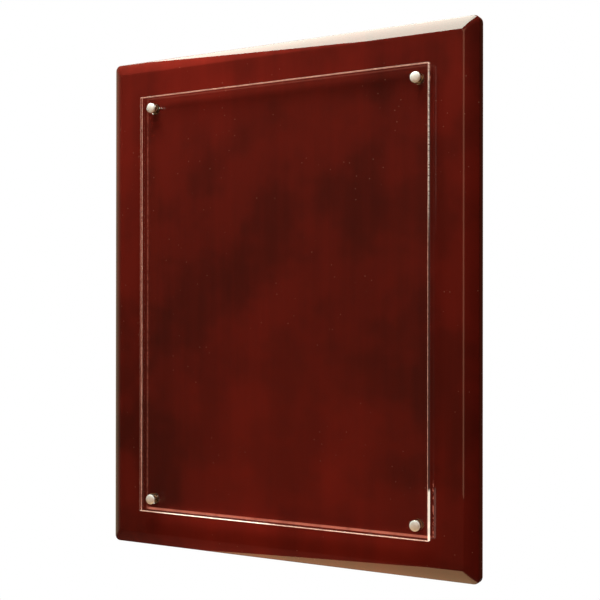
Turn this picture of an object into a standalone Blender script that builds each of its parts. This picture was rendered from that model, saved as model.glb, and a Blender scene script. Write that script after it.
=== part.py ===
"""Wall plaque: a piano-lacquered board, a clear acrylic plate that stands off its face on four capped studs, and two
keyhole hangers let into its back. Metres, +Z up. The back lies in the XZ plane, centred on the origin, and the front
faces -Y. Left and right are as seen from the front."""

import math

import bmesh
import bpy

# Board
BOARD_WIDTH = 0.2667
BOARD_HEIGHT = 0.3302
BOARD_THICKNESS = 0.0127
BEVEL_WIDTH = 0.0090  # across the face
BEVEL_DEPTH = 0.0048  # into the thickness
RIM_CORNER_RADIUS = 0.0038  # the board's corner, seen from the front
FACE_CORNER_RADIUS = 0.0016  # the same corner where the bevel meets the face
FACE_ARRIS_RADIUS = 0.0025  # polished edge between the face and the bevel
RIM_ARRIS_RADIUS = 0.0014  # between the bevel and the side wall
BACK_ARRIS_RADIUS = 0.0040  # rounded over

# Acrylic plate
SIDE_BORDER = 0.0286  # board showing beside the plate
END_BORDER = 0.0254  # board showing above and below it
PLATE_RIGHT = 0.0007  # how far the plate sits right of the board's middle
PLATE_DROP = 0.0012  # and below it
PLATE_THICKNESS = 0.0037
PLATE_EDGE_CHAMFER = 0.0002
STANDOFF = 0.0027  # from the board's face to the back of the plate

# Fixings, one in each corner of the plate
HOLE_INSET_LEFT = 0.0096  # from the plate's edge to the middle of the stud; the holes are not quite even
HOLE_INSET_RIGHT = 0.0078
HOLE_INSET_TOP = 0.0082
HOLE_INSET_BOTTOM = 0.0087
STUD_RADIUS = 0.0015
STUD_END_CHAMFER = 0.0003
CAP_RADIUS = 0.0032
CAP_HEIGHT = 0.0017
CAP_CROWN = 0.0006  # how far the middle of the domed face stands above its shoulder
CAP_SHOULDER_RADIUS = 0.0003
CAP_THREAD_DEPTH = 0.0012
WASHER_THICKNESS = 0.0004
WASHER_OVERHANG = 0.0002  # past the cap
SPACER_WALL = 0.0017
INSERT_WALL = 0.0007
INSERT_LENGTH = 0.0080
INSERT_BARB = 0.0003
INSERT_BARBS = 4
PLATE_HOLE_CLEARANCE = 0.0005

# Keyhole hangers, one for each way up
HANGER_LENGTH = 0.048
HANGER_WIDTH = 0.019
HANGER_THICKNESS = 0.0012
HANGER_CORNER_RADIUS = 0.003
HANGER_EDGE_DISTANCE = 0.044  # from the board's edge to the middle of the hanger
ENTRY_RADIUS = 0.0048
SLOT_HALF_WIDTH = 0.0024
SLOT_LENGTH = 0.0095  # from the middle of the entry hole to the middle of the slot's round end
POCKET_DEPTH = 0.0060  # room for the wall screw's head, under the hanger
POCKET_MARGIN = 0.0007  # round the entry hole
SCREW_FROM_END = 0.0050
SCREW_HEAD_RADIUS = 0.0029
SCREW_SHANK_RADIUS = 0.0014
SCREW_LENGTH = 0.0080
SCREW_POINT_LENGTH = 0.0020

FIT_GAP = 0.0003  # left between pieces that touch
CUT_OVERRUN = 0.002  # how far a cutter runs past a face that it goes through
CORNER_STEPS = 7
ARRIS_STEPS = 4
DOME_STEPS = 5
ROUND_SIDES = 32
SMALL_ROUND_SIDES = 20
SHARP_ANGLE = math.radians(35)

# Worked out from the sizes above
PLATE_WIDTH = BOARD_WIDTH - 2 * SIDE_BORDER
PLATE_HEIGHT = BOARD_HEIGHT - 2 * END_BORDER
THREAD_BORE = STUD_RADIUS + FIT_GAP
PLATE_FRONT = STANDOFF + PLATE_THICKNESS  # this and the next three are distances out from the board's face
CAP_BACK = PLATE_FRONT + WASHER_THICKNESS + 2 * FIT_GAP
CAP_FRONT = CAP_BACK + CAP_HEIGHT
STUD_TIP = CAP_BACK + CAP_THREAD_DEPTH - FIT_GAP
INSERT_RADIUS = THREAD_BORE + INSERT_WALL


def clear_scene():
    for old in list(bpy.data.objects):
        bpy.data.objects.remove(old, do_unlink=True)


def finish_of(name, colour, roughness, metallic=0.0, transmission=0.0):
    found = bpy.data.materials.new(name)
    found.use_nodes = True
    shader = found.node_tree.nodes["Principled BSDF"]
    shader.inputs["Base Color"].default_value = (*colour, 1.0)
    shader.inputs["Roughness"].default_value = roughness
    shader.inputs["Metallic"].default_value = metallic
    shader.inputs["Transmission Weight"].default_value = transmission
    return found


def rounded(corners, steps):
    """An open path through corners of (a, b, radius), each corner turned into an arc of that radius."""
    path = [corners[0][:2]]
    for before, (a, b, radius), after in zip(corners, corners[1:], corners[2:]):
        back = (before[0] - a, before[1] - b)
        on = (after[0] - a, after[1] - b)
        back_angle = math.atan2(back[1], back[0])
        on_angle = math.atan2(on[1], on[0])
        opening = math.remainder(on_angle - back_angle, math.tau)
        reach = radius / abs(math.sin(opening / 2))
        middle = back_angle + opening / 2
        centre = (a + reach * math.cos(middle), b + reach * math.sin(middle))
        sweep = math.copysign(math.pi - abs(opening), opening)
        for step in range(steps + 1):
            angle = middle + math.pi + sweep * (0.5 - step / steps)
            path.append((centre[0] + radius * math.cos(angle), centre[1] + radius * math.sin(angle)))
    path.append(corners[-1][:2])
    return path


def rounded_rectangle(half_width, half_height, radius, steps):
    """A closed outline of (x, z) points, anticlockwise from the right-hand side."""
    outline = []
    for quarter, (side, end) in enumerate(((1, 1), (-1, 1), (-1, -1), (1, -1))):
        for step in range(steps + 1):
            angle = (quarter + step / steps) * math.pi / 2
            outline.append(
                (
                    side * (half_width - radius) + radius * math.cos(angle),
                    end * (half_height - radius) + radius * math.sin(angle),
                )
            )
    return outline


def keyhole_outline():
    """The entry hole with its slot running up (+Z) out of it, as one closed outline."""
    mouth = math.asin(SLOT_HALF_WIDTH / ENTRY_RADIUS)
    outline = []
    for step in range(ROUND_SIDES - 3):
        angle = math.pi / 2 + mouth + step / (ROUND_SIDES - 4) * (math.tau - 2 * mouth)
        outline.append((ENTRY_RADIUS * math.cos(angle), ENTRY_RADIUS * math.sin(angle)))
    for step in range(ROUND_SIDES // 2):
        angle = step / (ROUND_SIDES // 2 - 1) * math.pi
        outline.append((SLOT_HALF_WIDTH * math.cos(angle), SLOT_LENGTH + SLOT_HALF_WIDTH * math.sin(angle)))
    return outline


def add_object(name, mesh, finish=None):
    made = bpy.data.objects.new(name, mesh)
    bpy.context.collection.objects.link(made)
    if finish and not mesh.materials:
        mesh.materials.append(finish)
    return made


def smooth_mesh(name, shape):
    bmesh.ops.remove_doubles(shape, verts=shape.verts, dist=1e-7)
    bmesh.ops.recalc_face_normals(shape, faces=shape.faces)
    mesh = bpy.data.meshes.new(name)
    shape.to_mesh(mesh)
    shape.free()
    mesh.shade_smooth()
    mesh.set_sharp_from_angle(angle=SHARP_ANGLE)
    return mesh


def stacked(name, rings):
    """A closed solid through rings, each one a (y, outline) of as many points as the next."""
    shape = bmesh.new()
    loops = [[shape.verts.new((x, y, z)) for x, z in outline] for y, outline in rings]
    for near, far in zip(loops, loops[1:]):
        for i in range(len(near)):
            j = (i + 1) % len(near)
            shape.faces.new((near[i], near[j], far[j], far[i]))
    shape.faces.new(loops[0])
    shape.faces.new(loops[-1])
    return smooth_mesh(name, shape)


def turned(name, profile, sides, ring=False):
    """A profile of (radius, distance out along -Y) points, spun round the Y axis; a ring's profile closes on itself."""
    shape = bmesh.new()
    points = [shape.verts.new((radius, -out, 0)) for radius, out in profile]
    for first, second in zip(points, points[1:]):
        shape.edges.new((first, second))
    if ring:
        shape.edges.new((points[-1], points[0]))
    bmesh.ops.spin(
        shape,
        geom=shape.verts[:] + shape.edges[:],
        axis=(0, 1, 0),
        cent=(0, 0, 0),
        angle=math.tau,
        steps=sides,
        use_merge=True,
    )
    return smooth_mesh(name, shape)


def cut(target, cutter):
    cutter.hide_render = True
    cutter.display_type = "WIRE"
    hole = target.modifiers.new(cutter.name, "BOOLEAN")
    hole.operation = "DIFFERENCE"
    hole.object = cutter


def place(name, location, turn=0.0):
    """An empty for pieces that share one place; turn is about Y, the way the plaque faces."""
    holder = bpy.data.objects.new(name, None)
    holder.location = location
    holder.rotation_euler = (0, turn, 0)
    bpy.context.collection.objects.link(holder)
    return holder


def board_edge():
    """The board's edge in section, back to front: (distance in from the rim, y)."""
    bevel_start = BOARD_THICKNESS - BEVEL_DEPTH
    return rounded(
        [
            (BEVEL_WIDTH, 0, 0),
            (0, 0, BACK_ARRIS_RADIUS),
            (0, -bevel_start, RIM_ARRIS_RADIUS),
            (BEVEL_WIDTH, -BOARD_THICKNESS, FACE_ARRIS_RADIUS),
            (2 * BEVEL_WIDTH, -BOARD_THICKNESS, 0),
        ],
        ARRIS_STEPS,
    )


def make_board(lacquer):
    rings = []
    for inset, y in board_edge()[1:-1]:
        share = inset / BEVEL_WIDTH
        radius = RIM_CORNER_RADIUS + share * (FACE_CORNER_RADIUS - RIM_CORNER_RADIUS)
        outline = rounded_rectangle(BOARD_WIDTH / 2 - inset, BOARD_HEIGHT / 2 - inset, radius, CORNER_STEPS)
        rings.append((y, outline))
    return add_object("board", stacked("board", rings), lacquer)


def make_plate(acrylic):
    half_width, half_height = PLATE_WIDTH / 2, PLATE_HEIGHT / 2
    corners = [(half_width, half_height), (-half_width, half_height)]
    corners += [(-x, -z) for x, z in corners]
    back = -BOARD_THICKNESS - STANDOFF
    plate = add_object("acrylic_plate", stacked("acrylic_plate", [(0, corners), (-PLATE_THICKNESS, corners)]), acrylic)
    plate.location = (PLATE_RIGHT, back, -PLATE_DROP)
    edge = plate.modifiers.new("Eased edges", "BEVEL")
    edge.width = PLATE_EDGE_CHAMFER
    edge.segments = 1
    return plate


def tube(inner, outer, start, end):
    return [(inner, start), (outer, start), (outer, end), (inner, end)]


def cap_profile():
    """From the middle of the cap's face, over its dome and shoulder and down its side, then up the threaded hole."""
    hole_end = CAP_BACK + CAP_THREAD_DEPTH
    shares = [step / DOME_STEPS for step in range(DOME_STEPS)]
    dome = [(share * CAP_RADIUS, CAP_FRONT - CAP_CROWN * share**2) for share in shares]
    shoulder = rounded(
        [
            (*dome[-1], 0),
            (CAP_RADIUS, CAP_FRONT - CAP_CROWN, CAP_SHOULDER_RADIUS),
            (CAP_RADIUS, CAP_BACK, 0),
        ],
        ARRIS_STEPS,
    )
    return dome[:-1] + shoulder + [(THREAD_BORE, CAP_BACK), (THREAD_BORE, hole_end), (0, hole_end)]


def insert_profile():
    """A press-in insert: a plain bore, and a row of barbs that slope towards the board's face."""
    top = -FIT_GAP
    pitch = INSERT_LENGTH / INSERT_BARBS
    outside = []
    for barb in range(INSERT_BARBS):
        start = top - barb * pitch
        outside += [(INSERT_RADIUS, start), (INSERT_RADIUS - INSERT_BARB, start - pitch)]
    return [(THREAD_BORE, top)] + outside + [(THREAD_BORE, top - INSERT_LENGTH)]


def stud_profile():
    end = FIT_GAP - INSERT_LENGTH
    narrow = STUD_RADIUS - STUD_END_CHAMFER
    return [
        (0, end),
        (narrow, end),
        (STUD_RADIUS, end + STUD_END_CHAMFER),
        (STUD_RADIUS, STUD_TIP - STUD_END_CHAMFER),
        (narrow, STUD_TIP),
        (0, STUD_TIP),
    ]


def make_fixings(board, plate, satin, clear, brass, steel):
    """Per corner: an insert pressed into the board, a stud in it, a spacer, a washer and a cap that screws on."""
    washer = tube(THREAD_BORE, CAP_RADIUS + WASHER_OVERHANG, PLATE_FRONT + FIT_GAP, CAP_BACK - FIT_GAP)
    spacer = tube(THREAD_BORE, THREAD_BORE + SPACER_WALL, FIT_GAP, STANDOFF - FIT_GAP)
    insert_bore = [(0, CUT_OVERRUN)]
    insert_bore += [(INSERT_RADIUS + FIT_GAP, CUT_OVERRUN), (INSERT_RADIUS + FIT_GAP, -INSERT_LENGTH - 2 * FIT_GAP)]
    insert_bore += [(0, -INSERT_LENGTH - 2 * FIT_GAP)]
    plate_bore = STUD_RADIUS + PLATE_HOLE_CLEARANCE
    plate_hole = [(0, PLATE_FRONT + CUT_OVERRUN), (plate_bore, PLATE_FRONT + CUT_OVERRUN)]
    plate_hole += [(plate_bore, STANDOFF - CUT_OVERRUN), (0, STANDOFF - CUT_OVERRUN)]
    pieces = {
        "cap": (turned("cap", cap_profile(), ROUND_SIDES), satin),
        "washer": (turned("washer", washer, ROUND_SIDES, ring=True), clear),
        "spacer": (turned("spacer", spacer, SMALL_ROUND_SIDES, ring=True), clear),
        "stud": (turned("stud", stud_profile(), SMALL_ROUND_SIDES), steel),
        "insert": (turned("insert", insert_profile(), SMALL_ROUND_SIDES, ring=True), brass),
    }
    cutters = {
        "insert_bore": (turned("insert_bore", insert_bore, SMALL_ROUND_SIDES), board),
        "plate_hole": (turned("plate_hole", plate_hole, ROUND_SIDES), plate),
    }
    half_width, half_height = PLATE_WIDTH / 2, PLATE_HEIGHT / 2
    heights = {"top": half_height - HOLE_INSET_TOP, "bottom": HOLE_INSET_BOTTOM - half_height}
    sides = {"left": HOLE_INSET_LEFT - half_width, "right": half_width - HOLE_INSET_RIGHT}
    for end, up in heights.items():
        for side, across in sides.items():
            corner = f"{end}_{side}"
            axis = place(f"fixing_{corner}", (PLATE_RIGHT + across, -BOARD_THICKNESS, up - PLATE_DROP))
            for name, (mesh, finish) in pieces.items():
                add_object(f"{name}_{corner}", mesh, finish).parent = axis
            for name, (mesh, target) in cutters.items():
                cutter = add_object(f"{name}_{corner}", mesh)
                cutter.parent = axis
                cut(target, cutter)


def screw_profile(grow):
    """A countersunk wood screw, or with grow the room it needs: (radius, distance out from the face of its head)."""
    cone = SCREW_HEAD_RADIUS - SCREW_SHANK_RADIUS
    tip = -SCREW_LENGTH - grow
    head = [(0, CUT_OVERRUN), (SCREW_HEAD_RADIUS + grow, CUT_OVERRUN)] if grow else [(0, 0)]
    return head + [
        (SCREW_HEAD_RADIUS + grow, 0),
        (SCREW_SHANK_RADIUS + grow, -cone),
        (SCREW_SHANK_RADIUS + grow, tip + SCREW_POINT_LENGTH),
        (0, tip),
    ]


def hanger_shapes():
    """Meshes that both hangers share, with the way the plaque hangs along +Z and the back of the board at y = 0."""
    outer, inner = -FIT_GAP, -FIT_GAP - HANGER_THICKNESS
    half_width, half_length = HANGER_WIDTH / 2, HANGER_LENGTH / 2
    blank = rounded_rectangle(half_width, half_length, HANGER_CORNER_RADIUS, CORNER_STEPS)
    recess = rounded_rectangle(
        half_width + FIT_GAP, half_length + FIT_GAP, HANGER_CORNER_RADIUS + FIT_GAP, CORNER_STEPS
    )
    pocket_radius = ENTRY_RADIUS + POCKET_MARGIN
    pocket = rounded_rectangle(pocket_radius, pocket_radius + SLOT_LENGTH / 2, pocket_radius, CORNER_STEPS)
    keyhole = [(x, z - SLOT_LENGTH / 2) for x, z in keyhole_outline()]
    recess_floor = inner - FIT_GAP
    return {
        "hanger": stacked("hanger", [(outer, blank), (inner, blank)]),
        "keyhole": stacked("keyhole", [(CUT_OVERRUN, keyhole), (-CUT_OVERRUN, keyhole)]),
        "recess": stacked("recess", [(CUT_OVERRUN, recess), (recess_floor, recess)]),
        "pocket": stacked("pocket", [(CUT_OVERRUN, pocket), (recess_floor - POCKET_DEPTH, pocket)]),
        "screw": turned("hanger_screw", screw_profile(0), SMALL_ROUND_SIDES),
        "screw_hole": turned("screw_hole", screw_profile(FIT_GAP), SMALL_ROUND_SIDES),
    }


def make_hanger(name, holder, board, shapes, steel):
    hanger = add_object(name, shapes["hanger"], steel)
    hanger.parent = holder
    for shape, target in (("keyhole", hanger), ("recess", board), ("pocket", board)):
        cutter = add_object(f"{name}_{shape}", shapes[shape])
        cutter.parent = holder
        cut(target, cutter)
    for end, way in (("upper", 1), ("lower", -1)):
        spot = (0, -FIT_GAP, way * (HANGER_LENGTH / 2 - SCREW_FROM_END))
        screw = add_object(f"{name}_screw_{end}", shapes["screw"], steel)
        hole = add_object(f"{name}_screw_hole_{end}", shapes["screw_hole"])
        for piece in (screw, hole):
            piece.parent = holder
            piece.location = spot
            piece.rotation_euler = (0, 0, math.pi)
        cut(hanger, hole)
        cut(board, hole)


clear_scene()
board = make_board(finish_of("red_brown_lacquer", (0.10, 0.012, 0.008), 0.05))
plate = make_plate(finish_of("clear_acrylic", (0.95, 0.97, 0.97), 0.03, transmission=1.0))
make_fixings(
    board,
    plate,
    satin=finish_of("satin_aluminium", (0.78, 0.78, 0.76), 0.35, metallic=1.0),
    clear=finish_of("clear_nylon", (0.90, 0.90, 0.88), 0.15, transmission=0.8),
    brass=finish_of("brass", (0.72, 0.53, 0.26), 0.35, metallic=1.0),
    steel=finish_of("stud_steel", (0.55, 0.55, 0.56), 0.35, metallic=1.0),
)
zinc = finish_of("zinc_plated_steel", (0.68, 0.68, 0.70), 0.30, metallic=1.0)
hanger_shapes_made = hanger_shapes()
top_holder = place("portrait_hanging", (0, 0, BOARD_HEIGHT / 2 - HANGER_EDGE_DISTANCE))
side_holder = place("landscape_hanging", (HANGER_EDGE_DISTANCE - BOARD_WIDTH / 2, 0, 0), turn=-math.pi / 2)
make_hanger("portrait_hanger", top_holder, board, hanger_shapes_made, zinc)
make_hanger("landscape_hanger", side_holder, board, hanger_shapes_made, zinc)
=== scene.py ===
import math

import bmesh
import bpy
from mathutils import Matrix, Vector


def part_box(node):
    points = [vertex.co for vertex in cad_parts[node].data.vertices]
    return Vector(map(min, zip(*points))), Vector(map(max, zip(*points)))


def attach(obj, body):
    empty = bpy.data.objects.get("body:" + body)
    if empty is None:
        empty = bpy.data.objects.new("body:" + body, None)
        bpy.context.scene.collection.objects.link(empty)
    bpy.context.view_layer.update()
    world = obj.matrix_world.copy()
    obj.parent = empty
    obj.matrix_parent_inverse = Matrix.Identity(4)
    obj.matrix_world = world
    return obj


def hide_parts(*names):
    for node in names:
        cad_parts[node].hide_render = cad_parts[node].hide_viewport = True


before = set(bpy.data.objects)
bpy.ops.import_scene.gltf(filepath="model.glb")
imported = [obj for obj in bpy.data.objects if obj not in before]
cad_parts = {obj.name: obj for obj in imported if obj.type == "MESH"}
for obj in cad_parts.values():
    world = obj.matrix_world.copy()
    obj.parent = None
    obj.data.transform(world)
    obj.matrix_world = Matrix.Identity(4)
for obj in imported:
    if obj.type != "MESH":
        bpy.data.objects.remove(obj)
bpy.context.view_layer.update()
board_low, board_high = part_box("board")
plate_low, plate_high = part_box("acrylic_plate")


# ---- Board -----------------------------------------------------------------------------------------------
# A fibreboard blank, bevelled all round, stained red-brown, built up in clear lacquer and buffed to a piano
# finish, which leaves every edge soft and the bevel a little crowned. The back is painted black and routed
# for two keyhole hangers, and the face is bored for four threaded inserts.

BEVEL_WIDTH = 0.0090
RIM_ARRIS = 0.0014  # radius of the buffed edge between side wall and bevel
FACE_ARRIS = 0.0040  # between bevel and face
BACK_ARRIS = 0.0040  # the rounded edge against the wall
TILT_AT_RIM = math.radians(34)  # slope of the crowned bevel at its outer and inner edges
TILT_AT_FACE = math.radians(18)
RIM_CORNER = 0.0038
FACE_CORNER = 0.0016
INSERT_BORE = 0.00252
INSERT_DEPTH = 0.0086
RECESS_DEPTH = 0.0016
RECESS_CORNER = 0.0031
POCKET_DEPTH = 0.0078
POCKET_RADIUS = 0.0055
KEYHOLE_TRAVEL = 0.0095  # from the round end to the end of the slot
RECESS_PLAY = 0.0003
OVERCUT = 0.0010  # cutters stand this far proud of what they cut
QUARTER_STEPS = 12  # flats to a quarter of a round corner or hole
SHARP_FROM = math.radians(30)  # edges turning more than this are shaded as corners
CORNERS = ("top_left", "top_right", "bottom_left", "bottom_right")
HANGERS = ("portrait_hanger", "landscape_hanger")
HAIR = 0.00001  # less than any real step in the board
BACK_PAINT = 1  # the board's finishes, after the lacquer
BARE_FIBRE = 2
OBJECT_PLACE = 3  # outputs of the Texture Coordinate node
DIRECTION = 0
NO_STRETCH = (1, 1, 1)
ALONG_THE_FIGURE = (1.0, 1.0, 0.05)
BLACK = (0.0, 0.0, 0.0)
DARK_STAIN = (0.044, 0.0074, 0.0056)
RED_STAIN = (0.262, 0.0180, 0.0116)
DUST = (0.80, 0.50, 0.40)
SPILLED_LIGHT = (0.50, 0.150, 0.095)
RIGHT_LINE = (0.0003, 0.0012)  # spilled light: from and to, out past the plate's right edge
LEFT_LINE = (0.0020, 0.0034)  # in from its left edge
HEAD_LINE = (0.0002, 0.0014)  # down from its top


def swept_arc(start, radius, from_tilt, to_tilt, steps):
    """Points along an arc of the board's section, as (distance in from the rim, depth)."""
    points = []
    for step in range(1, steps + 1):
        tilt = from_tilt + (to_tilt - from_tilt) * step / steps
        points.append(
            (
                start[0] + radius * (math.sin(from_tilt) - math.sin(tilt)),
                start[1] + radius * (math.cos(tilt) - math.cos(from_tilt)),
            )
        )
    return points


def board_section(thickness):
    crown = BEVEL_WIDTH - RIM_ARRIS * (1 - math.sin(TILT_AT_RIM)) - FACE_ARRIS * math.sin(TILT_AT_FACE)
    crown /= math.sin(TILT_AT_RIM) - math.sin(TILT_AT_FACE)
    square = math.radians(90)
    front = [(0.0, 0.0)]
    front += swept_arc(front[-1], RIM_ARRIS, square, TILT_AT_RIM, 10)
    front += swept_arc(front[-1], crown, TILT_AT_RIM, TILT_AT_FACE, 12)
    front += swept_arc(front[-1], FACE_ARRIS, TILT_AT_FACE, 0.0, 8)
    lift = thickness - front[-1][1]
    turns = [math.radians(angle) for angle in range(0, 91, 9)]
    back = [(BACK_ARRIS * (1 - math.sin(turn)), BACK_ARRIS * (1 - math.cos(turn))) for turn in turns]
    return back + [(inset, lift + depth) for inset, depth in front]


def rounded_outline(half_width, half_height, radius):
    outline = []
    for quarter, (side, end) in enumerate(((1, 1), (-1, 1), (-1, -1), (1, -1))):
        for step in range(QUARTER_STEPS + 1):
            angle = (quarter + step / QUARTER_STEPS) * math.pi / 2
            x = side * (half_width - radius) + radius * math.cos(angle)
            outline.append((x, end * (half_height - radius) + radius * math.sin(angle)))
    return outline


def stacked(name, rings):
    """A closed mesh through rings of (y, outline); every outline has as many points as the next."""
    shape = bmesh.new()
    loops = [[shape.verts.new((x, y, z)) for x, z in outline] for y, outline in rings]
    for near, far in zip(loops, loops[1:]):
        for i in range(len(near)):
            j = (i + 1) % len(near)
            shape.faces.new((near[i], near[j], far[j], far[i]))
    shape.faces.new(loops[0])
    shape.faces.new(loops[-1])
    return new_piece(name, shape)


def new_piece(name, shape):
    bmesh.ops.remove_doubles(shape, verts=shape.verts, dist=1e-7)
    bmesh.ops.recalc_face_normals(shape, faces=shape.faces)
    mesh = bpy.data.meshes.new(name)
    shape.to_mesh(mesh)
    shape.free()
    mesh.shade_smooth()
    mesh.set_sharp_from_angle(angle=SHARP_FROM)
    piece = bpy.data.objects.new(name, mesh)
    bpy.context.scene.collection.objects.link(piece)
    return piece


def cut_away(piece, cutters):
    """Cuts each cutter out of the piece for good."""
    for cutter in cutters:
        hole = piece.modifiers.new("cut", "BOOLEAN")
        hole.operation = "DIFFERENCE"
        hole.object = cutter
    settle(piece)
    for cutter in cutters:
        bpy.data.objects.remove(cutter)


def settle(piece):
    """Turns the piece's modifiers into plain mesh, and weights its normals so that big flats stay flat."""
    graph = bpy.context.evaluated_depsgraph_get()
    mesh = bpy.data.meshes.new_from_object(piece.evaluated_get(graph))
    piece.modifiers.clear()
    piece.data = mesh
    mesh.shade_smooth()
    mesh.set_sharp_from_angle(angle=SHARP_FROM)
    flats = piece.modifiers.new("flat faces stay flat", "WEIGHTED_NORMAL")
    flats.keep_sharp = True
    flats.weight = 100


def plug(name, radius, start, end, place):
    """A round cutter from y = start to y = end, round the place's x and z."""
    outline = rounded_outline(radius, radius, radius)
    cutter = stacked(name, [(start, outline), (end, outline)])
    cutter.location = (place[0], 0, place[1])
    return cutter


class Shade:
    """A socket of a finish's nodes. Arithmetic on it adds Math nodes; node() adds any other node."""

    def __init__(self, tree, socket=None):
        self.tree = tree
        self.socket = socket

    def node(self, kind, settings=None, sockets=None, out=0):
        made = self.tree.nodes.new(kind)
        for name, value in (settings or {}).items():
            setattr(made, name, value)
        for name, value in (sockets or {}).items():
            feed(self.tree, made.inputs[name], value)
        return Shade(self.tree, made.outputs[out])

    def maths(self, operation, *values):
        return self.node("ShaderNodeMath", {"operation": operation}, dict(enumerate(values)))

    def mix(self, first, second):
        """Mixes two colours by this value."""
        return self.node("ShaderNodeMix", {"data_type": "RGBA"}, {0: self, 6: first, 7: second}, out=2)

    def between(self, low, high):
        """0 below low, 1 above high, and smooth between them; low may be the larger."""
        settings = {"interpolation_type": "SMOOTHSTEP", "clamp": True}
        return self.node("ShaderNodeMapRange", settings, {0: self, 1: low, 2: high})

    def __add__(self, other):
        return self.maths("ADD", self, other)

    def __radd__(self, other):
        return self.maths("ADD", other, self)

    def __sub__(self, other):
        return self.maths("SUBTRACT", self, other)

    def __rsub__(self, other):
        return self.maths("SUBTRACT", other, self)

    def __mul__(self, other):
        return self.maths("MULTIPLY", self, other)

    def __rmul__(self, other):
        return self.maths("MULTIPLY", other, self)


def feed(tree, socket, value):
    """Links a Shade to a socket, or sets the socket's own value."""
    if isinstance(value, Shade):
        tree.links.new(value.socket, socket)
    elif isinstance(value, tuple) and socket.type == "RGBA":
        socket.default_value = (*value, 1.0)
    else:
        socket.default_value = value


def new_finish(name):
    """A new material, its Principled shader, and a Shade to build from."""
    material = bpy.data.materials.new(name)
    material.use_nodes = True
    tree = material.node_tree
    return material, tree.nodes["Principled BSDF"], Shade(tree)


def set_finish(shader, shade, sockets):
    for name, value in sockets.items():
        feed(shade.tree, shader.inputs[name], value)


def pattern(shade, kind, scale, stretch=NO_STRETCH, **sockets):
    """A 3-D texture on the piece's own place in metres, with so many features to the metre."""
    place = shade.node("ShaderNodeTexCoord", out=OBJECT_PLACE)
    mapped = shade.node("ShaderNodeMapping", {}, {"Vector": place, "Scale": stretch})
    return shade.node(kind, {}, {"Vector": mapped, "Scale": scale, **sockets})


def noise(shade, scale, detail, stretch=NO_STRETCH, roughness=0.5):
    return pattern(shade, "ShaderNodeTexNoise", scale, stretch, Detail=detail, Roughness=roughness)


def bump(shade, strength, distance, height):
    return shade.node("ShaderNodeBump", {}, {"Strength": strength, "Distance": distance, "Height": height})


def parts_of(place):
    """The x, y and z of a place, as three Shades."""
    parts = place.tree.nodes.new("ShaderNodeSeparateXYZ")
    place.tree.links.new(place.socket, parts.inputs[0])
    return [Shade(place.tree, socket) for socket in parts.outputs]


def place_of(shade):
    """The place on the piece, as three Shades."""
    return parts_of(shade.node("ShaderNodeTexCoord", out=OBJECT_PLACE))


def band(value, start, end, soft):
    """1 between start and end, fading to 0 over the soft distance inside each."""
    return value.between(start, start + soft) * value.between(end, end - soft)


def stain_colour(shade, right, up):
    """The stain, in random blotches, cloud and figure, and besides these lighter towards the top and at the
    upper left and redder at the lower middle.
    """
    blotch = noise(shade, 9.0, 4.0, (1.0, 1.0, 0.45), 0.55).between(0.34, 0.66)
    cloud = noise(shade, 24.0, 3.0).between(0.38, 0.62)
    figure = noise(shade, 110.0, 6.0, ALONG_THE_FIGURE, 0.6).between(0.35, 0.75)
    # lighter at the upper left and towards the top, redder at the lower middle, set by place on the board
    # alone
    upper_left = right.between(0.10, -0.14) * up.between(-0.10, 0.14)
    lower_middle = right.between(-0.11, 0.0) * right.between(0.13, 0.05) * up.between(0.02, -0.12)
    depth = blotch * 0.24 + cloud * 0.20 + figure * 0.10
    depth = depth + upper_left * 0.26 + lower_middle * 0.34 + up.between(-0.20, 0.20) * 0.10
    return depth.mix(DARK_STAIN, RED_STAIN)


def with_dust(shade, colour):
    """Pale specks of dust under the top coat, in drifts."""
    near_speck = pattern(shade, "ShaderNodeTexVoronoi", 200.0).between(0.090, 0.035)
    drift = noise(shade, 31.0, 0.0).between(0.50, 0.54)
    return (near_speck * drift * 0.22).mix(colour, DUST)


def spilled_light(shade, right, up):
    """Thin lines of light that the clear plate's edges throw on the lacquer behind them."""
    figure = noise(shade, 110.0, 6.0, ALONG_THE_FIGURE, 0.6)
    spots = noise(shade, 900.0, 1.0).between(0.45, 0.55)
    foot, head = plate_low.z, plate_high.z
    left_end = right.between(plate_low.x + 0.001, plate_low.x + 0.006)
    inside = left_end * right.between(plate_high.x, plate_high.x - 0.002)
    along_foot = up.between(foot + 0.0007, foot + 0.0012) * up.between(foot + 0.0027, foot + 0.0021)
    along_foot = along_foot * inside * (figure.between(0.25, 0.65) * 0.5 + 0.6)
    beside_right = band(right - plate_high.x, *RIGHT_LINE, 0.0003)
    beside_right = beside_right * up.between(foot + 0.036, foot + 0.030) * up.between(foot, foot + 0.002)
    within_left = band(right - plate_low.x, *LEFT_LINE, 0.0004) * band(up, foot, head, 0.003)
    below_head = band(head - up, *HEAD_LINE, 0.0004) * inside
    line = along_foot + beside_right * spots * 0.8 + within_left * (spots * 0.2 + 0.08) + below_head * 0.12
    return line.mix(BLACK, SPILLED_LIGHT)


def lacquer_finish():
    material, shader, shade = new_finish("red_brown_piano_lacquer")
    right, _, up = place_of(shade)
    set_finish(
        shader,
        shade,
        {
            "Base Color": with_dust(shade, stain_colour(shade, right, up)),
            "Roughness": 0.45,
            "Specular IOR Level": 0.0,
            "Coat Weight": 1.0,
            "Coat Roughness": 0.015,
            "Coat IOR": 1.52,
            "Normal": bump(shade, 0.02, 0.00005, noise(shade, 160.0, 2.0)),
            "Emission Color": spilled_light(shade, right, up),
            "Emission Strength": 1.0,
        },
    )
    return material


def back_paint_finish():
    material, shader, shade = new_finish("matt_black_back_paint")
    fleck = noise(shade, 900.0, 4.0)
    colour = noise(shade, 14.0, 3.0).between(0.3, 0.7).mix((0.012, 0.011, 0.010), (0.022, 0.019, 0.017))
    relief = bump(shade, 0.25, 0.0001, fleck)
    set_finish(shader, shade, {"Base Color": colour, "Roughness": fleck * 0.25 + 0.45, "Normal": relief})
    return material


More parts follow.
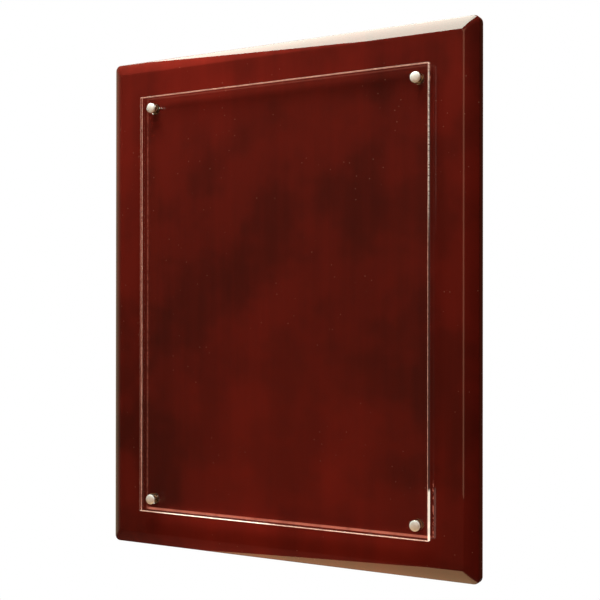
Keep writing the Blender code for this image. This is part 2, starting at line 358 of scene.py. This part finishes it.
def routed_finish():
    material, shader, shade = new_finish("routed_fibreboard")
    fibre = noise(shade, 2600.0, 5.0, (1.0, 0.25, 1.0), 0.7)
    colour = fibre.between(0.3, 0.7).mix((0.24, 0.15, 0.075), (0.40, 0.27, 0.15))
    relief = bump(shade, 0.5, 0.0002, fibre)
    set_finish(shader, shade, {"Base Color": colour, "Roughness": fibre * 0.2 + 0.75, "Normal": relief})
    return material


def board_blank():
    rings = []
    for inset, depth in board_section(board_high.y - board_low.y):
        share = min(1.0, inset / BEVEL_WIDTH)
        radius = RIM_CORNER + share * (FACE_CORNER - RIM_CORNER)
        outline = rounded_outline(board_high.x - inset, board_high.z - inset, radius)
        rings.append((board_high.y - depth, outline))
    return stacked("lacquered_board", rings)


def sunk_from_back(name, outline, depth):
    return stacked(name, [(board_high.y - depth, outline), (board_high.y + OVERCUT, outline)])


def hanger_cutters(hanger):
    """A shallow recess for the plate and, behind its keyhole, a deeper pocket for the wall screw's head."""
    low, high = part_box(hanger)
    middle, half = (low + high) / 2, (high - low) / 2
    outline = rounded_outline(half.x + RECESS_PLAY, half.z + RECESS_PLAY, RECESS_CORNER)
    recess = sunk_from_back("hanger_recess", outline, RECESS_DEPTH)
    long_half = POCKET_RADIUS + KEYHOLE_TRAVEL / 2
    sizes = (POCKET_RADIUS, long_half) if half.z > half.x else (long_half, POCKET_RADIUS)
    pocket = sunk_from_back("screw_head_pocket", rounded_outline(*sizes, POCKET_RADIUS), POCKET_DEPTH)
    for cutter in (recess, pocket):
        cutter.location = (middle.x, 0, middle.z)
    return [recess, pocket]


def fixing_centre(node):
    low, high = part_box(node)
    return ((low.x + high.x) / 2, (low.z + high.z) / 2)


def give_board_finishes(board):
    """Lacquer all over, black paint on the flat of the back, and bare fibre in what is routed and bored."""
    board.data.materials.clear()
    for finish in (lacquer_finish(), back_paint_finish(), routed_finish()):
        board.data.materials.append(finish)
    for flat in board.data.polygons:
        x, y, z = flat.center
        in_from_rim = min(board_high.x - abs(x), board_high.z - abs(z))
        if y > board_high.y - HAIR:
            flat.material_index = BACK_PAINT
        elif in_from_rim > 2 * BEVEL_WIDTH and y > board_low.y + HAIR:
            flat.material_index = BARE_FIBRE


def make_board():
    board = board_blank()
    bore = (board_low.y - OVERCUT, board_low.y + INSERT_DEPTH)
    centres = [fixing_centre(f"insert_{corner}") for corner in CORNERS]
    cutters = [plug("insert_bore", INSERT_BORE, *bore, centre) for centre in centres]
    for hanger in HANGERS:
        cutters += hanger_cutters(hanger)
    cut_away(board, cutters)
    give_board_finishes(board)
    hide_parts("board")
    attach(board, "plaque")


make_board()


# ---- Acrylic plate ---------------------------------------------------------------------------------------
# A clear cast sheet, cut to size on a saw and drilled near its corners. The faces keep the sheet's polish.
# The edges are left as the saw cut them and eased with a scraper. The pale lines of light along them are
# painted: a glow in their finishes.

EASED_EDGE = 0.00025
PLATE_HOLE = 0.0020
ACRYLIC_IOR = 1.49
PIPED_LIGHT = (1.0, 0.88, 0.72)
IS_CAMERA_RAY = 0  # outputs of the Light Path node
IS_SHADOW_RAY = 1
IS_DIFFUSE_RAY = 2
ACROSS_THE_EDGE = (1.0, 0.05, 1.0)
SQUARE_ON = 0.99  # a flat whose normal has a part above this faces along that axis
CLEAR_FACE = 0  # the plate's finishes
SAWN_EDGE = 1
SCRAPED_EDGE = 2


def clear_face_finish():
    material, shader, shade = new_finish("clear_acrylic")
    colour = noise(shade, 40.0, 3.0).mix((0.975, 0.985, 0.975), (0.99, 0.99, 0.985))
    clear = {"Roughness": 0.0, "IOR": ACRYLIC_IOR, "Transmission Weight": 1.0}
    set_finish(shader, shade, {"Base Color": colour, **clear})
    let_lamps_through(shader, shade)
    return material


def let_lamps_through(shader, shade):
    """Clear plastic casts hardly any shadow, so soft light goes straight through it both ways."""
    clear = shade.node("ShaderNodeBsdfTransparent", {}, {"Color": (0.95, 0.95, 0.95)})
    seen = Shade(shade.tree, shader.outputs[0])
    for ray in (IS_SHADOW_RAY, IS_DIFFUSE_RAY):
        path = shade.node("ShaderNodeLightPath", out=ray)
        seen = shade.node("ShaderNodeMixShader", {}, {0: path, 1: seen, 2: clear})
    show(seen)


def show(shader):
    """Makes this the shader that the whole material shows."""
    shader.tree.links.new(shader.socket, shader.tree.nodes["Material Output"].inputs["Surface"])


def lit_at_foot(right):
    """The left half of the bottom edge is the brighter."""
    return right.between(plate_low.x + 0.006, plate_low.x + 0.030) * right.between(0.005, -0.012)


def piped_light(shade, right, depth, up):
    """Light piped out at the edge: solid at the foot of the right side, and in specks near its top."""
    at_right = right.between(plate_high.x - 0.0004, plate_high.x - 0.0002)
    solid = up.between(plate_low.z + 0.031, plate_low.z + 0.028)
    teeth = noise(shade, 1100.0, 1.0, ACROSS_THE_EDGE).between(0.42, 0.54)
    broken = up.between(plate_high.z - 0.110, plate_high.z - 0.060) * teeth
    front_half = depth.between(plate_low.y + 0.0021, plate_low.y + 0.0013)
    at_foot = up.between(plate_low.z + 0.0006, plate_low.z + 0.0003)
    sides = at_right * (solid * 0.95 + broken * front_half * 0.75 + 0.01)
    return sides + at_foot * (lit_at_foot(right) * 0.8 + 0.22)


def sawn_edge_finish():
    """Fine saw marks across the edge. Its red tint is a painted reflection of the lacquer, and it glows with
    painted light: faintly red all over, with piped light besides.
    """
    material, shader, shade = new_finish("sawn_acrylic_edge")
    marks = noise(shade, 420.0, 2.0, ACROSS_THE_EDGE, 0.6)
    set_finish(
        shader,
        shade,
        {
            # painted reflection: the red of the lacquer beside the clear edge
            "Base Color": marks.mix((0.42, 0.20, 0.15), (0.60, 0.32, 0.25)),
            "Roughness": marks * 0.08 + 0.02,
            "IOR": ACRYLIC_IOR,
            "Transmission Weight": 1.0,
            "Normal": bump(shade, 0.35, 0.00006, marks),
            # painted light: a faint red glow over the whole edge, and the piped light on top of it
            "Emission Color": piped_light(shade, *place_of(shade)).mix((0.040, 0.008, 0.006), PIPED_LIGHT),
            "Emission Strength": 1.0,
        },
    )
    return material


def scraped_edge_finish():
    """The edge's corners, eased with a scraper and frosted, with a painted highlight along them: a glow in
    the emission.
    """
    material, shader, shade = new_finish("scraped_acrylic_corner")
    nicks = noise(shade, 600.0, 3.0)
    right, _, up = place_of(shade)
    # painted highlight: an emission glow along the eased corners, stronger at the left of the foot
    glint_glow = nicks.between(0.3, 0.7).mix((0.14, 0.060, 0.045), (0.46, 0.24, 0.18))
    at_foot = up.between(plate_low.z + 0.0012, plate_low.z + 0.0006)
    bright = at_foot * lit_at_foot(right) * (nicks * 0.6 + 0.5)
    set_finish(
        shader,
        shade,
        {
            "Base Color": nicks.mix((0.50, 0.30, 0.25), (0.75, 0.52, 0.44)),
            "Roughness": nicks * 0.3 + 0.25,
            "IOR": ACRYLIC_IOR,
            "Transmission Weight": 0.35,
            "Normal": bump(shade, 0.7, 0.0001, nicks),
            "Emission Color": bright.mix(glint_glow, PIPED_LIGHT),
            "Emission Strength": 1.0,
        },
    )
    return material


def make_plate():
    shape = bmesh.new()
    bmesh.ops.create_cube(shape, size=1.0)
    bmesh.ops.scale(shape, vec=plate_high - plate_low, verts=shape.verts)
    bmesh.ops.translate(shape, vec=(plate_low + plate_high) / 2, verts=shape.verts)
    bmesh.ops.bevel(shape, geom=shape.edges[:], offset=EASED_EDGE, segments=2, affect="EDGES", profile=0.5)
    plate = new_piece("clear_plate", shape)
    through = (plate_low.y - OVERCUT, plate_high.y + OVERCUT)
    centres = [fixing_centre(f"stud_{corner}") for corner in CORNERS]
    cut_away(plate, [plug("plate_hole", PLATE_HOLE, *through, centre) for centre in centres])
    plate.data.materials.clear()
    for finish in (clear_face_finish(), sawn_edge_finish(), scraped_edge_finish()):
        plate.data.materials.append(finish)
    for flat in plate.data.polygons:
        steepest = max(abs(part) for part in flat.normal)
        if abs(flat.normal.y) > SQUARE_ON:
            flat.material_index = CLEAR_FACE
        elif steepest > SQUARE_ON or flat.normal.y == 0:
            flat.material_index = SAWN_EDGE
        else:
            flat.material_index = SCRAPED_EDGE
    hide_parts("acrylic_plate")
    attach(plate, "plaque")


make_plate()


# ---- Fixings ---------------------------------------------------------------------------------------------
# In each corner a brass insert is pressed into the board and an M3 stud screwed into it. A clear sleeve on
# the stud holds the plate off the lacquer. A thin clear washer and a turned cap, in satin metal, close on it.

THREAD_PITCH = 0.0005
THREAD_DEPTH = 0.00028
THREAD_RUNOUT = 0.0003
THREAD_SIDES = 24
ROWS_PER_TURN = 8
STUD_PLAY = 0.0001
DOME_STEPS = 12
CAP_CROWN = 0.0006
CAP_SHOULDER = 0.0003
SHOULDER_DROP = 0.00002  # it starts this far below the dome's edge
SHOULDER_STEPS = 6
CAP_SET_BACK = 0.0005  # closes the running gaps that the CAD leaves behind the cap
WASHER = 0.0004
WASHER_OVERHANG = 0.0002  # past the cap
WASHER_CHAMFER = 0.00015
SMALL_CHAMFER = 0.0001
BORE_CHAMFER = 0.0002
SLEEVE_SIDES = 48
TOUCH = 0.00003  # left between pieces that touch

face = board_low.y
plate_back = face - plate_high.y  # these are distances out from the board's face
plate_front = face - plate_low.y
washer_front = plate_front + TOUCH + WASHER


def lathe(name, section, sides=64, ring=False):
    """A turned piece: (radius, distance out from the board's face) points spun round the y axis."""
    shape = bmesh.new()
    points = [shape.verts.new((radius, face - out, 0)) for radius, out in section]
    for first, second in zip(points, points[1:]):
        shape.edges.new((first, second))
    if ring:
        shape.edges.new((points[-1], points[0]))
    whole = shape.verts[:] + shape.edges[:]
    turn = {"axis": (0, 1, 0), "cent": (0, 0, 0), "angle": math.tau, "steps": sides, "use_merge": True}
    bmesh.ops.spin(shape, geom=whole, **turn)
    return new_piece(name, shape)


def shoulder(radius, out, turn):
    """A rounded outer edge between a face at out and a side wall at radius."""
    angles = [math.radians(90 * step / SHOULDER_STEPS) for step in range(SHOULDER_STEPS + 1)]
    return [(radius - turn + turn * math.sin(a), out - turn + turn * math.cos(a)) for a in angles]


def metal_finish(name, colour, roughness, streaks, relief, metallic=1.0):
    material, shader, shade = new_finish(name)
    fine = noise(shade, streaks, 4.0, NO_STRETCH, 0.6)
    duller = tuple(0.86 * part for part in colour)
    tone = noise(shade, streaks / 6, 2.0).between(0.3, 0.7).mix(duller, colour)
    sockets = {"Base Color": tone, "Metallic": metallic, "Roughness": fine * 0.2 + (roughness - 0.1)}
    set_finish(shader, shade, {**sockets, "Normal": bump(shade, relief, 0.00002, fine)})
    return material


def clear_small_finish(name, roughness, ior):
    material, shader, shade = new_finish(name)
    cloud = noise(shade, 900.0, 2.0)
    colour = cloud.mix((0.80, 0.66, 0.62), (0.93, 0.84, 0.80))
    clear = {"IOR": ior, "Transmission Weight": 1.0}
    set_finish(shader, shade, {"Base Color": colour, "Roughness": cloud * 0.05 + roughness, **clear})
    let_lamps_through(shader, shade)
    return material


def threaded_stud(name, start, end, radius):
    """A stud with its thread cut as a true helix, from start to end out from the board's face."""
    shape = bmesh.new()
    rows = int((end - start) / THREAD_PITCH * ROWS_PER_TURN)
    grid = []
    for row in range(rows + 1):
        out = start + (end - start) * row / rows
        ends = min(1.0, (out - start) / THREAD_RUNOUT, (end - out) / THREAD_RUNOUT)
        ring = []
        for side in range(THREAD_SIDES):
            angle = side / THREAD_SIDES * math.tau
            phase = (out / THREAD_PITCH + side / THREAD_SIDES) % 1.0
            groove = 1.0 - abs(2.0 * phase - 1.0)
            r = radius - THREAD_DEPTH * max(groove, 1.0 - ends)
            ring.append(shape.verts.new((r * math.cos(angle), face - out, r * math.sin(angle))))
        grid.append(ring)
    for near, far in zip(grid, grid[1:]):
        for i in range(THREAD_SIDES):
            j = (i + 1) % THREAD_SIDES
            shape.faces.new((near[i], near[j], far[j], far[i]))
    shape.faces.new(grid[0])
    shape.faces.new(grid[-1])
    return new_piece(name, shape)


satin = metal_finish("satin_aluminium", (0.98, 0.95, 0.98), 0.55, 4000.0, 0.3, 0.15)
steel = metal_finish("stud_steel", (0.16, 0.13, 0.12), 0.45, 2500.0, 0.2)
brass = metal_finish("insert_brass", (0.72, 0.52, 0.24), 0.36, 2500.0, 0.2)
washer_clear = clear_small_finish("clear_washer", 0.10, 1.42)
sleeve_clear = clear_small_finish("clear_sleeve", 0.02, 1.22)


def cap_section(radius, front, bore, bore_end):
    back = washer_front + TOUCH
    shares = [step / DOME_STEPS for step in range(DOME_STEPS - 1)]
    dome = [(radius * share, front - CAP_CROWN * share**2) for share in shares]
    dome += shoulder(radius, front - CAP_CROWN - SHOULDER_DROP, CAP_SHOULDER)
    foot = [(radius, back + SMALL_CHAMFER), (radius - SMALL_CHAMFER, back), (bore + BORE_CHAMFER, back)]
    return dome + foot + [(bore, back + BORE_CHAMFER), (bore, bore_end), (0, bore_end)]


def washer_section(rim, bore):
    back = plate_front + TOUCH
    edge = [(rim, back), (rim, washer_front - WASHER_CHAMFER), (rim - WASHER_CHAMFER, washer_front)]
    return [(bore, back), *edge, (bore, washer_front)]


def sleeve_section(rim, bore):
    back, front = TOUCH, plate_back - TOUCH
    foot = [(rim - SMALL_CHAMFER, back), (rim, back + SMALL_CHAMFER)]
    return [(bore, back), *foot, (rim, front - SMALL_CHAMFER), (rim - SMALL_CHAMFER, front), (bore, front)]


def radius_of(node):
    low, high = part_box(node)
    return (high.x - low.x) / 2


def turned_pieces(corner):
    """The cap, washer, sleeve and stud of one corner, still round the middle of the board."""
    cap_radius = radius_of(f"cap_{corner}")
    cap_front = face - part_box(f"cap_{corner}")[0].y - CAP_SET_BACK
    stud_radius = radius_of(f"stud_{corner}")
    stud_low, stud_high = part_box(f"stud_{corner}")
    stud_back, stud_front = face - stud_high.y, face - stud_low.y
    bore = stud_radius + STUD_PLAY
    section = cap_section(cap_radius, cap_front, bore, stud_front + STUD_PLAY)
    cap = lathe(f"turned_cap_{corner}", section)
    section = washer_section(cap_radius + WASHER_OVERHANG, bore)
    washer = lathe(f"clear_washer_{corner}", section, ring=True)
    section = sleeve_section(radius_of(f"spacer_{corner}"), bore)
    sleeve = lathe(f"clear_sleeve_{corner}", section, SLEEVE_SIDES, ring=True)
    stud = threaded_stud(f"threaded_stud_{corner}", stud_back, stud_front, stud_radius)
    return cap, washer, sleeve, stud


for corner in CORNERS:
    cap, washer, sleeve, stud = turned_pieces(corner)
    across, up = fixing_centre(f"cap_{corner}")
    for piece, finish, node, body, slot in (
        (cap, satin, "cap", f"cap_{corner}", "satin_metal"),
        (washer, washer_clear, "washer", f"washer_{corner}", "clear_washer"),
        (sleeve, sleeve_clear, "spacer", "plaque", "clear_spacer"),
        (stud, steel, "stud", "plaque", "stud_steel"),
    ):
        piece.data.transform(Matrix.Translation((across, 0, up)))
        piece.data.materials.append(finish)
        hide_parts(f"{node}_{corner}")
        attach(piece, body)
    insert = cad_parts[f"insert_{corner}"]
    insert.data.materials.clear()
    insert.data.materials.append(brass)


# ---- Keyhole hangers -------------------------------------------------------------------------------------
# Two zinc-plated pressings sit flush in the back, one for each way up, held by countersunk screws. The head
# of a wall screw goes in at the round end and the plaque drops until the slot rests on its shank.

zinc = metal_finish("zinc_plate", (0.66, 0.67, 0.69), 0.32, 1500.0, 0.2)
screw_zinc = metal_finish("zinc_screw", (0.74, 0.72, 0.62), 0.26, 3000.0, 0.15)
for hanger in HANGERS:
    for node in (hanger, f"{hanger}_screw_upper", f"{hanger}_screw_lower"):
        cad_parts[node].data.materials.clear()
        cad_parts[node].data.materials.append(zinc if node == hanger else screw_zinc)


# ---- Studio ----------------------------------------------------------------------------------------------
# A white sweep in a dark room, with three soft boxes: one overhead, one tall and warm in front, and one below
# that stands for light off the floor. The first and last are turned, so that each fills only part of a bevel.

EYE = Vector((0.3528, face - 0.5975, -0.0129))
HEADING = math.radians(29.376)
PITCH = math.radians(90.097)
ROLL = 0.0012
LENS = 65.63
SHIFT_UP = 0.0330
BOX_TURN = math.radians(34)
LAMP_TINT = (0.90, 1.0, 0.86)
WARM_TINT = (1.0, 0.50, 0.30)
BOUNCE_TINT = (1.0, 0.70, 0.34)
FLOOR_SIZE = 3.0
FLOOR_PLACE = (0, 0.6, -0.70)
FLOOR_GREY = (0.08, 0.08, 0.08)
WHITE = (1.0, 1.0, 1.0)
DIM_ROOM = (1.0, 0.24, 0.12)
LIT_ROOM = (1.0, 0.86, 0.56)


def place_camera():
    data = bpy.data.cameras.new("camera")
    data.sensor_width = 36.0
    data.lens = LENS
    data.shift_y = SHIFT_UP
    camera = bpy.data.objects.new("camera", data)
    bpy.context.scene.collection.objects.link(camera)
    turned = Matrix.Rotation(HEADING, 4, "Z") @ Matrix.Rotation(PITCH, 4, "X") @ Matrix.Rotation(ROLL, 4, "Z")
    camera.matrix_world = Matrix.Translation(EYE) @ turned
    bpy.context.scene.camera = camera


def soft_box(name, middle, aim, size, radiance, tint, turn=0.0):
    """A rectangular lamp facing its aim and turned about the upright."""
    width, height = size
    data = bpy.data.lights.new(name, "AREA")
    data.shape = "RECTANGLE"
    data.size = width
    data.size_y = height
    data.energy = radiance * math.pi * width * height
    data.color = tint
    light = bpy.data.objects.new(name, data)
    facing = (Vector(aim) - Vector(middle)).to_track_quat("-Z", "Y").to_matrix().to_4x4()
    light.matrix_world = Matrix.Translation(middle) @ Matrix.Rotation(turn, 4, "Z") @ facing
    light.visible_camera = False
    bpy.context.scene.collection.objects.link(light)


def lay_floor():
    """Plain white to the camera, and dark grey card to every other ray."""
    bpy.ops.mesh.primitive_plane_add(size=FLOOR_SIZE, location=FLOOR_PLACE)
    floor = bpy.context.object
    floor.name = "floor"
    material, shader, shade = new_finish("pale_floor")
    set_finish(shader, shade, {"Base Color": FLOOR_GREY})
    camera_ray = shade.node("ShaderNodeLightPath", out=IS_CAMERA_RAY)
    card = Shade(shade.tree, shader.outputs[0])
    glow = shade.node("ShaderNodeEmission", {}, {"Color": WHITE, "Strength": 1.0})
    show(shade.node("ShaderNodeMixShader", {}, {0: camera_ray, 1: card, 2: glow}))
    floor.data.materials.append(material)


def paint_room():
    """White to the camera. Every other ray sees a dim room, brighter and less red behind and to the left."""
    world = bpy.data.worlds.new("studio")
    bpy.context.scene.world = world
    world.use_nodes = True
    shade = Shade(world.node_tree)
    camera_ray = shade.node("ShaderNodeLightPath", out=IS_CAMERA_RAY)
    across, depth, _ = parts_of(shade.node("ShaderNodeTexCoord", out=DIRECTION))
    behind = depth.between(-0.30, 0.25)
    left = across.between(0.2, -0.4)
    strength = behind * (left * 0.46 + 0.12) + 0.02
    room = strength.mix(BLACK, left.mix(DIM_ROOM, LIT_ROOM))
    background = world.node_tree.nodes["Background"]
    feed(world.node_tree, background.inputs["Color"], camera_ray.mix(room, WHITE))
    background.inputs["Strength"].default_value = 1.0


place_camera()
soft_box(
    "overhead_box",
    middle=(-0.13, -0.11, 0.66),
    aim=(-0.13, -0.11, 0.0),
    size=(0.50, 0.70),
    radiance=12.0,
    tint=LAMP_TINT,
    turn=BOX_TURN,
)
soft_box(
    "front_box",
    middle=(0.02, -1.30, 0.25),
    aim=(0.0, 0.0, 0.0),
    size=(0.60, 1.20),
    radiance=1.7,
    tint=WARM_TINT,
)
soft_box(
    "floor_bounce",
    middle=(0.02, -0.16, -0.60),
    aim=(0.02, -0.16, 0.0),
    size=(0.50, 0.62),
    radiance=2.5,
    tint=BOUNCE_TINT,
    turn=BOX_TURN,
)
lay_floor()
paint_room()
bpy.context.scene.view_settings.view_transform = "Standard"
bpy.context.scene.view_settings.look = "None"
